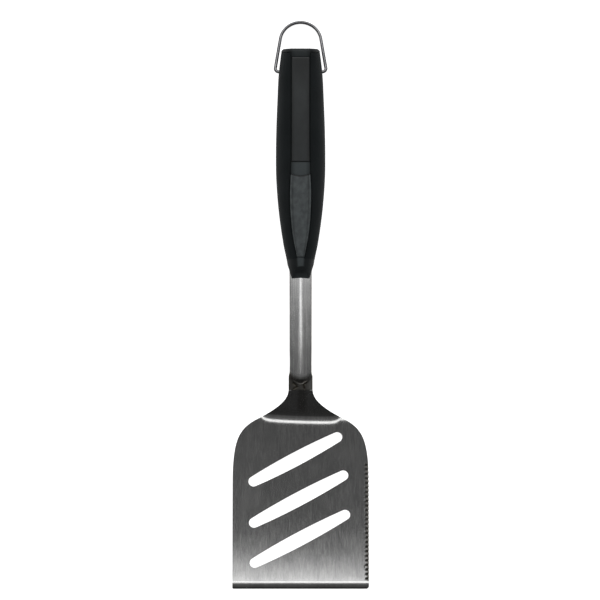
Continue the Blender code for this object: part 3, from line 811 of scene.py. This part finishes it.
def flat_oval(shape, inset):
    """A tube's section as (x, z) points: a rounded ridge, almost flat flanks, tight corners and
    upright sides."""
    half, height, ridge, corner, flank_start, flank_end = shape
    half -= inset
    height -= inset
    ridge -= inset
    corner = max(corner - inset, LEAST_CORNER)
    low = math.sin(flank_start)
    high = math.sin(flank_end)
    flank = (half - ridge * low - corner * (1 - high)) / (high - low)
    up = math.pi / 2
    ridge_centre = Vector((0, height - ridge))
    flank_centre = ridge_centre + Vector((low, math.cos(flank_start))) * (ridge - flank)
    corner_centre = flank_centre + Vector((high, math.cos(flank_end))) * (flank - corner)
    steps = SECTION_STEPS
    quarter = arc(ridge_centre, ridge, up, up - flank_start, steps[0])
    quarter += arc(flank_centre, flank, up - flank_start, up - flank_end, steps[1])[1:]
    quarter += arc(corner_centre, corner, up - flank_end, 0, steps[2])[1:]
    return mirrored(quarter + [(x, -z) for x, z in reversed(quarter)])


def mirrored(half):
    """A half outline that starts and ends at X = 0, continued on the -X side, no point twice."""
    other = [(-p[0],) + tuple(p[1:]) for p in reversed(half) if abs(p[0]) > 1e-9]
    return list(half) + other


def crease(x, station):
    """1 in the middle of a crease beside the weld, falling to 0 around it."""
    nearest = 99.0
    here = Vector((x, station))
    for line in CREASES:
        for a, b in zip(line, line[1:]):
            start = Vector(a)
            along = Vector(b) - start
            share = min(max((here - start).dot(along) / along.length_squared, 0.0), 1.0)
            nearest = min(nearest, (here - start - along * share).length)
    return math.exp(-((nearest / CREASE_WIDTH) ** 2))


def tube_ring(station, inset=0.0):
    """The tube's section. Past its flat end the crown rises out of two sloping cheeks along a
    U-shaped line."""
    opened = min(max((station - PINCH_APEX) / (PINCH_END - PINCH_APEX), 0.0), 1.0)
    reach = (PINCH_SECTION[0] + PINCH_SOFTNESS) * opened**PINCH_ROUNDNESS
    swell = (station - PINCH_START) * PINCH_SLOPE
    apex_height = PINCH_SECTION[1] + (PINCH_APEX - PINCH_START) * PINCH_SLOPE
    drop = (TUBE_SECTION[1] - apex_height) * (1 - opened) ** 3
    ring = []
    pairs = zip(flat_oval(PINCH_SECTION, inset), flat_oval(TUBE_SECTION, inset))
    for (flat_x, low_z), (full_x, high_z) in pairs:
        side = 1 if low_z > 0 else -1
        inside = smoothstep(0, PINCH_SOFTNESS, reach - abs(flat_x))
        cheek = low_z + side * swell
        crown = high_z - side * drop
        x = flat_x + (full_x - flat_x) * inside
        z = cheek + (crown - cheek) * inside
        if side > 0 and not inset and station < PINCH_END:
            z -= CREASE_DEPTH * crease(flat_x, station)
        ring.append((x, station, AXIS_Z + z))
    return ring


def tube_shade(x, station, normal):
    """Painted shade over the pinch, in its creases and at the tube's end rim, and down the sides.
    """
    side = SIDE_TONE * smoothstep(0.5, 0.8, abs(normal.x))
    if normal.z < 0 or station > PINCH_SHADE_REACH:
        return side
    edge = PINCH_SHADE_EDGE[0] + PINCH_SHADE_EDGE[1] * x * x
    pinch_shade = PINCH_SHADE_TONE - PINCH_SHADE_SIDE_LOSS * smoothstep(4, 8, x)
    pinch_shade *= 1 - smoothstep(edge - PINCH_SHADE_FADE, edge + PINCH_SHADE_FADE, station)
    rim = 1 - smoothstep(0.1, 0.6, station - PINCH_START)
    return min(pinch_shade + 0.5 * side + CREASE_TONE * crease(x, station) + rim, 1.0)


def make_tube(look):
    """The steel tube, its end pinched over the blade's tongue and its end's rim eased."""
    stations = evenly(PINCH_START + 0.25, PINCH_END + 1, PINCH_SPACING)
    stations += evenly(PINCH_END + 1, TUBE_END, TUBE_SPACING)[1:]
    rings = [tube_ring(PINCH_START, 0.25), tube_ring(PINCH_START + 0.07, 0.09)]
    rings += [tube_ring(s) for s in stations]
    rings += [tube_ring(s, TUBE_WALL) for s in reversed([PINCH_START] + stations)]
    tube = new_object("tube_shaft", *skin(rings, closed=True))
    grain_map(tube)
    # Painted shade over the tube's pinch, creases, end rim and sides
    painted_light_map(tube, "steel_shade", tube_shade)
    return finish_piece(tube, look, "spatula", ["shaft_tube"])


# ---------------------------------------------------------------- handle


width_at = curve_through(WIDTH_STATIONS)
crown_at = curve_through(CROWN_STATIONS)
belly_at = curve_through(BELLY_STATIONS)
facet_at = curve_through(FACET_STATIONS)
thickness_at = curve_through(THICKNESS_STATIONS)


def flank_point(station, angle, inset=0.0):
    """A point (x, z) on the handle's side at an angle: -90 degrees is the belly, 0 the widest point
    and 90 the crown."""
    half = width_at(station)
    facet = facet_at(station)
    if angle <= 0:
        squareness = 2 / BELLY_POWER
        x = (half - inset) * abs(math.cos(angle)) ** squareness
        return (x, -(belly_at(station) - inset) * abs(math.sin(angle)) ** squareness)
    peak = crown_at(station) / math.sqrt(1 - (facet / half) ** 2)
    return ((half - inset) * math.cos(angle), (peak - inset) * math.sin(angle))


def flank(station, wall, inset=0.0):
    """The handle's side as (x, z) points from the middle of the belly up to a wall at x = wall."""
    lower, upper = FLANK_STEPS
    points = [flank_point(station, -math.pi / 2 * (1 - i / lower), inset) for i in range(lower + 1)]
    points[0] = (0.0, points[0][1])
    top = math.acos(wall / (width_at(station) - inset))
    return points + [flank_point(station, top * i / upper, inset) for i in range(1, upper + 1)]


def body_ring(station, inset=0.0):
    """The handle's whole section, with its flat top facet."""
    facet = facet_at(station)
    side = flank(station, facet + GAP / 2, inset)
    wall = facet - GAP / 2
    crown = crown_at(station) - inset
    top = [(wall, crown), (wall * 0.66, crown), (wall * 0.33, crown), (0.0, crown)]
    return mirrored(side + top)


def core_ring(station, recess):
    """The core's section under the grip: inset flanks, and a spine between the grip's edges up to a
    recessed top."""
    wall = facet_at(station) - GAP / 2
    top = crown_at(station) - recess
    side = flank(station, wall + SPINE_FOOT, thickness_at(station) + GAP)
    side[-1] = (wall, side[-1][1])
    eased = rounded(side[-1], (wall, top), (0.0, top), SPINE_EASING, 3)
    return mirrored(side + eased + [(wall * 0.5, top), (0.0, top)])


def grip_ring(station, inset=0.0):
    """The grip's C-shaped section with eased edges along the seam: out along the outer flank, then
    back along the inner one."""
    wall = facet_at(station) + GAP / 2
    outer = flank(station, wall, inset)
    inner = flank(station, wall, thickness_at(station))
    edge = rounded(outer[-2], outer[-1], inner[-1], GRIP_EASING, 4)
    outer = outer[:-2] + edge
    outside = [(-x, z) for x, z in reversed(outer)] + outer[1:]
    inside = [(-x, z) for x, z in reversed(inner)] + inner[1:]
    return outside + inside[::-1]


def lifted(section, station):
    """A section's points at a station, raised to the tube's axis."""
    return [(x, station, AXIS_Z + z) for x, z in section]


def straight(x, station):
    """A seam that runs straight across."""
    return station


def spine_top_light(x, station, normal):
    """Painted top light: the up-facing top of the spine is painted lighter from the scoop on,
    fainter beyond the panel, and so is the nose's rim.
    """
    if normal.z < 0.9:
        return 0.0
    if station < SCOOP_LINE:
        return 0.4 * (1 - smoothstep(0.7, 1.7, station - NOSE_START))
    top = 1 - smoothstep(0.5, 1.25, abs(x) / facet_at(station))
    top *= smoothstep(SCOOP_END - 1.2, SCOOP_END + 0.4, station)
    return top * (1 - 0.65 * smoothstep(PANEL_END - 3, PANEL_END - 1, station))


def pad_shade(x, station, normal):
    """Painted shade along the pad's curved end and in the valley beside its rims."""
    valley = 0.4 * math.exp(-(((abs(x) / facet_at(station) - 0.72) / 0.07) ** 2))
    return max(valley, smoothstep(1.0, 0.6, smile(x, PAD_END) - station))


def panel_fade(x, station, normal):
    """Painted shade along the panel's sides, as dark as the grip; the panel also darkens towards
    its far end.
    """
    side = smoothstep(0.45, 1.0, abs(x) / facet_at(station))
    return max(0.85 * side, 0.8 * smoothstep(PANEL_END - 30, PANEL_END - 1, station))


def smile(x, station):
    """The curved seam between pad and bridge: it dips towards the blade in the middle."""
    half = facet_at(station)
    return station - SMILE_DIP * (1 - min(abs(x) / half, 1.0) ** 2)


def tube_bore(start, end):
    """A cutter for the bore that the tube sits in, a gap wider than the tube."""
    section = flat_oval(TUBE_SECTION, -GAP)
    return new_object("bore_cutter", *skin([lifted(section, s) for s in (start, end)]))


def loop_holes():
    """Two blind holes on the loop's axis, one from each side."""
    pivot_station = (PIVOT.y - FRONT_Y) / MM
    circle = arc((pivot_station, AXIS_Z), HOLE_RADIUS, 0, 2 * math.pi, 40)[:-1]
    return [new_object("hole_cutter", *prism(circle, low, high, lay_across))
            for low, high in ((HOLE_BOTTOM_HALF, 25), (-25, -HOLE_BOTTOM_HALF))]


def stepped(station, first, second, seam, run):
    """Two rings of the spine whose tops lie on one seam, at two depths, so that there is a steep
    step between them. The rest of them is a short run apart."""
    rings = []
    for along, recess in ((station, first), (station + run, second)):
        ring = lifted(core_ring(along, recess), along)
        middle = (len(ring) + 1) // 2
        for i in range(middle - SPINE_TOP_POINTS, middle + SPINE_TOP_POINTS + 1):
            ring[i] = (ring[i][0], seam(ring[i][0], station), ring[i][2])
        rings.append(ring)
    return rings


def make_core(look):
    """The hard core: a front ring, the spine with beds for the two inlays, and the crowned butt."""
    bed = INLAY_THICKNESS + GAP
    front = [lifted(body_ring(s), s) for s in (NOSE_END + SEAM, NOSE_END + 1.8, GRIP_START - SEAM)]
    collar = new_object("core_front", *skin(front))
    first = (GRIP_START - GAP - 0.5, GRIP_START + 0.4, PAD_START - GAP - 0.3)
    rings = [lifted(core_ring(s, 0.0), s) for s in first]
    rings += stepped(PAD_START - GAP, 0.25, bed, straight, STEP_RUN)
    rings += [lifted(core_ring(s, bed), s) for s in evenly(256, 313, 3.0)]
    rings += stepped(PAD_END + GAP, bed, 0.3, smile, STEP_RUN)
    bridge = evenly(PAD_END + GAP + 2.4, PANEL_START - GAP - 0.4, 0.8)
    rings += [lifted(core_ring(s, 0.0), s) for s in bridge]
    rings += stepped(PANEL_START - GAP, 0.3, bed, straight, STEP_RUN)
    rings += [lifted(core_ring(s, bed), s) for s in evenly(330, 401, 4.0)]
    rings += stepped(PANEL_END + GAP, bed, 0.3, straight, STEP_RUN / 2)
    last = (PANEL_END + GAP + 0.8, GRIP_END + GAP + 0.5)
    rings += [lifted(core_ring(s, 0.0), s) for s in last]
    core = new_object("core_shell", *skin(rings))
    butt = [(GRIP_END + GAP, 0.25), (GRIP_END + GAP + 0.25, 0.0)]
    for a in evenly(0.1, 1.45, 0.1):
        inset = BUTT_ROUNDING * (1 - math.cos(a))
        butt.append((BUTT_END - BUTT_ROUNDING + BUTT_ROUNDING * math.sin(a), inset))
    cap = new_object("core_butt", *skin([lifted(body_ring(s, inset), s) for s, inset in butt]))
    cut(core, [collar, cap], "UNION")
    cut(core, [tube_bore(NOSE_START, TUBE_END + GAP)] + loop_holes())
    # Painted top light on the up-facing top of the spine
    painted_light_map(core, "painted_shading", spine_top_light)
    return finish_piece(core, look, "spatula", ["handle_core"])


def make_collar(look):
    """The collar between grip and tube: cut back at its sides, with a sloping scoop and a fine line
    across it."""
    ends = ((NOSE_START, 0.3), (NOSE_START + 0.3, 0.05), (NOSE_START + 0.8, 0.0))
    stations = list(ends) + [(s, 0.0) for s in evenly(NOSE_START + 1.2, NOSE_END, 0.8)]
    collar = new_object("nose_ring", *skin([lifted(body_ring(s, i), s) for s, i in stations]))
    slant = [(NOSE_TIP_HALF * i / 8, NOSE_START + NOSE_ARCH * (1 - (i / 8) ** 2))
             for i in range(-8, 9)]
    slant += [(10.4, NOSE_END + 0.5), (10.4, NOSE_END + 2)]
    slant += [(-10.4, NOSE_END + 2), (-10.4, NOSE_END + 0.5)]
    cut(collar, [new_object("slant_cutter", *prism(slant, -2, 26, lay_flat))], "INTERSECT")
    crown = crown_at(SCOOP_END)
    start = NOSE_START - 1.0
    rise = (crown - SCOOP_FLOOR) / (SCOOP_END - NOSE_START)
    scoop = [(start, AXIS_Z + SCOOP_FLOOR - rise), (SCOOP_END, AXIS_Z + crown)]
    scoop += [(SCOOP_END, 26), (start, 26)]
    line_z = AXIS_Z + SCOOP_FLOOR + rise * (SCOOP_LINE - NOSE_START)
    groove = [(SCOOP_LINE + s, line_z + z) for s, z in ((-0.35, 1), (0, -0.3), (0.35, 1))]
    cutters = [tube_bore(NOSE_START - 5, NOSE_END + 5)]
    cutters.append(new_object("scoop_cutter", *prism(scoop, -8, 8, lay_across)))
    cutters.append(new_object("line_cutter", *prism(groove, -4, 3, lay_across)))
    cut(collar, cutters)
    # Painted top light on the collar's up-facing top and front rim
    painted_light_map(collar, "painted_shading", spine_top_light)
    return finish_piece(collar, look, "spatula", ["nose_collar"])


def make_grip(look):
    """The soft sleeve round the sides and the belly."""
    ends = ((0.0, 0.12), (0.1, 0.03), (0.3, 0.0))
    rings = [lifted(grip_ring(GRIP_START + s), GRIP_START + s) for s in (0.0, 0.5)]
    rings += [lifted(grip_ring(s), s) for s in evenly(GRIP_START + 1, GRIP_END - 1, 1.6)]
    rings += [lifted(grip_ring(GRIP_END - s, i), GRIP_END - s) for s, i in reversed(ends)]
    grip = new_object("grip_skin", *skin(rings), sharp_angle=45)
    cut(grip, loop_holes())
    return finish_piece(grip, look, "spatula", ["grip_sleeve"])


def make_inlay(name, node, look, ends, seams, section, rows, painted_shading):
    """A strip let into the spine between two seams."""
    start, end = ends
    across = [(-share, rise) for share, rise in reversed(section[1:])] + list(section)
    stations = [(start + s, drop) for s, drop in INLAY_END_EASING]
    stations += [(s, 0.0) for s in evenly(start + 1.0, end - 1.0, (end - start) / rows)]
    stations += [(end - s, drop) for s, drop in reversed(INLAY_END_EASING)]
    rings = []
    for station, drop in stations:
        t = (station - start) / (end - start)
        half = facet_at(station) - 1.5 * GAP
        upper = []
        lower = []
        for share, rise in across:
            x = share * half
            low = seams[0](x, start)
            y = low + (seams[1](x, end) - low) * t
            upper.append((x, y, AXIS_Z + crown_at(y) + rise - drop))
            lower.append((x, y, AXIS_Z + crown_at(y) - INLAY_THICKNESS))
        rings.append(upper + lower[::-1])
    obj = new_object(name, *skin(rings), sharp_angle=50)
    # Painted shade on the inlay, from the given function
    painted_light_map(obj, "painted_shading", painted_shading)
    return finish_piece(obj, look, "spatula", [node])


# ---------------------------------------------------------------- hanging loop


def loop_path():
    """The wire's middle line in the loop's plane: feet on the axis, splayed legs, a round top."""
    foot = (LOOP_FOOT_HALF - LOOP_FOOT_RADIUS, LOOP_FOOT_RADIUS)
    top = (0.0, LOOP_RISE - LOOP_TOP_RADIUS)
    rise = top[1] - foot[1]
    inward = math.asin((LOOP_TOP_RADIUS - LOOP_FOOT_RADIUS) / math.hypot(foot[0], rise))
    lean = math.atan2(foot[0], rise) - inward
    right = [(LOOP_END_HALF, 0.0), (foot[0] - 2.0, 0.0)]
    right += arc(foot, LOOP_FOOT_RADIUS, -math.pi / 2, lean, 16)
    right += arc(top, LOOP_TOP_RADIUS, lean, math.pi / 2, 40)[:-1]
    return right + [(0.0, LOOP_RISE)] + [(-x, y) for x, y in reversed(right)]


def make_loop(look):
    """The bent wire, at the droop it has at rest."""
    curve = bpy.data.curves.new("wire_path", "CURVE")
    curve.dimensions = "3D"
    curve.bevel_depth = WIRE_RADIUS * MM
    curve.bevel_resolution = 8
    curve.use_fill_caps = True
    path = loop_path()
    wire = curve.splines.new("POLY")
    wire.points.add(len(path) - 1)
    turned = Matrix.Translation(PIVOT) @ Matrix.Rotation(-LOOP_DROOP, 4, "X")
    for point, (x, y) in zip(wire.points, path):
        point.co = (*(turned @ Vector((x * MM, y * MM, 0))), 1)
    guide = add_object("wire_guide", curve)
    graph = bpy.context.evaluated_depsgraph_get()
    mesh = bpy.data.meshes.new_from_object(guide.evaluated_get(graph))
    bpy.data.objects.remove(guide)
    mesh.shade_smooth()
    mesh.set_sharp_from_angle(angle=math.radians(40))
    loop = add_object("loop_wire", mesh)
    return finish_piece(loop, look, "hanging_loop", ["hanging_loop"])


# ---------------------------------------------------------------- stage, light and camera


def make_floor():
    """A pale round floor, which glows a little so that it stays plain."""
    mesh = bpy.data.meshes.new("floor")
    rim = [(FLOOR_RADIUS * math.cos(a), FLOOR_RADIUS * math.sin(a), FLOOR_LEVEL)
           for a in evenly(0, 2 * math.pi, math.pi / 48)[:-1]]
    mesh.from_pydata(rim, [], [tuple(range(len(rim)))])
    floor = add_object("floor", mesh)
    grey = (FLOOR_GREY, FLOOR_GREY, FLOOR_GREY, 1)
    look = Look("floor", Base_Color=grey, Roughness=0.9, Specular_IOR_Level=0.1,
                Emission_Color=(1, 1, 1, 1), Emission_Strength=FLOOR_GLOW)
    mesh.materials.append(look.material)


def make_world():
    """A dim studio: pale near the horizon and dark above."""
    world = bpy.data.worlds.new("studio")
    bpy.context.scene.world = world
    world.use_nodes = True
    tree = world.node_tree
    background = tree.nodes["Background"]
    place = tree.nodes.new("ShaderNodeTexCoord")
    split = tree.nodes.new("ShaderNodeSeparateXYZ")
    ramp = tree.nodes.new("ShaderNodeValToRGB")
    tree.links.new(place.outputs["Generated"], split.inputs["Vector"])
    tree.links.new(split.outputs["Z"], ramp.inputs["Fac"])
    tree.links.new(ramp.outputs["Color"], background.inputs["Color"])
    stops = ramp.color_ramp.elements
    stops[0].position = HORIZON[0][0]
    stops[1].position = HORIZON[-1][0]
    for height, _ in HORIZON[1:-1]:
        stops.new(height)
    for stop, (_, level) in zip(stops, HORIZON):
        stop.color = (level, level, level, 1)


def add_light(name, place, size, power, tilt, turn):
    """A soft rectangular light that faces down before it is tilted about X and turned about Z."""
    light = bpy.data.lights.new(name, "AREA")
    light.shape = "RECTANGLE"
    light.size, light.size_y = size
    light.energy = power
    lamp = add_object(name, light)
    lamp.location = place
    lamp.rotation_euler = (math.radians(tilt), 0, math.radians(turn))


def make_camera():
    """Straight above the middle of the spatula, with its length up the picture."""
    camera = add_object("camera", bpy.data.cameras.new("camera"))
    camera.location = (CAMERA_X, CAMERA_Y, AXIS_Z * MM + CAMERA_HEIGHT)
    camera.data.sensor_width = SENSOR_WIDTH
    camera.data.lens = SENSOR_WIDTH * CAMERA_HEIGHT / CAMERA_FIELD
    camera.data.clip_end = 50.0
    bpy.context.scene.camera = camera


# ---------------------------------------------------------------- the object


def main():
    steel = brushed_steel("brushed_blade", *BLADE_STEEL, wave=BLADE_WAVE)
    tube_steel = brushed_steel("brushed_tube", *TUBE_STEEL)
    rubber = moulded("soft_grip", *SOFT_GRIP)
    hard = moulded("hard_plastic", *HARD_PLASTIC)
    satin = moulded("satin_pad", *SATIN_PAD, blotches=SATIN_BLOTCHES, overlay=INLAY_SHADE_COLOUR)
    inlay = moulded("inlay_plastic", *INLAY_PLASTIC, overlay=INLAY_SHADE_COLOUR)
    plug = moulded("plug_plastic", *PLUG_PLASTIC)
    wire = drawn_wire()

    make_blade(steel)
    make_tube(tube_steel)
    make_collar(hard)
    make_core(hard)
    make_grip(rubber)
    make_inlay("thumb_rest", "thumb_pad", satin, (PAD_START, PAD_END),
               (straight, smile), PAD_SECTION, 44, pad_shade)
    make_inlay("spine_panel", "upper_inlay", inlay, (PANEL_START, PANEL_END),
               (straight, straight), PANEL_SECTION, 40, panel_fade)
    make_loop(wire)
    for node, look in (("tube_plug", plug), ("lock_pin", wire)):
        obj = frame["nodes"][node]
        obj.data.materials.clear()
        obj.data.materials.append(look)

    make_floor()
    make_world()
    for light in LIGHTS:
        add_light(*light)
    make_camera()
    bpy.context.scene.view_settings.view_transform = "Standard"


main()
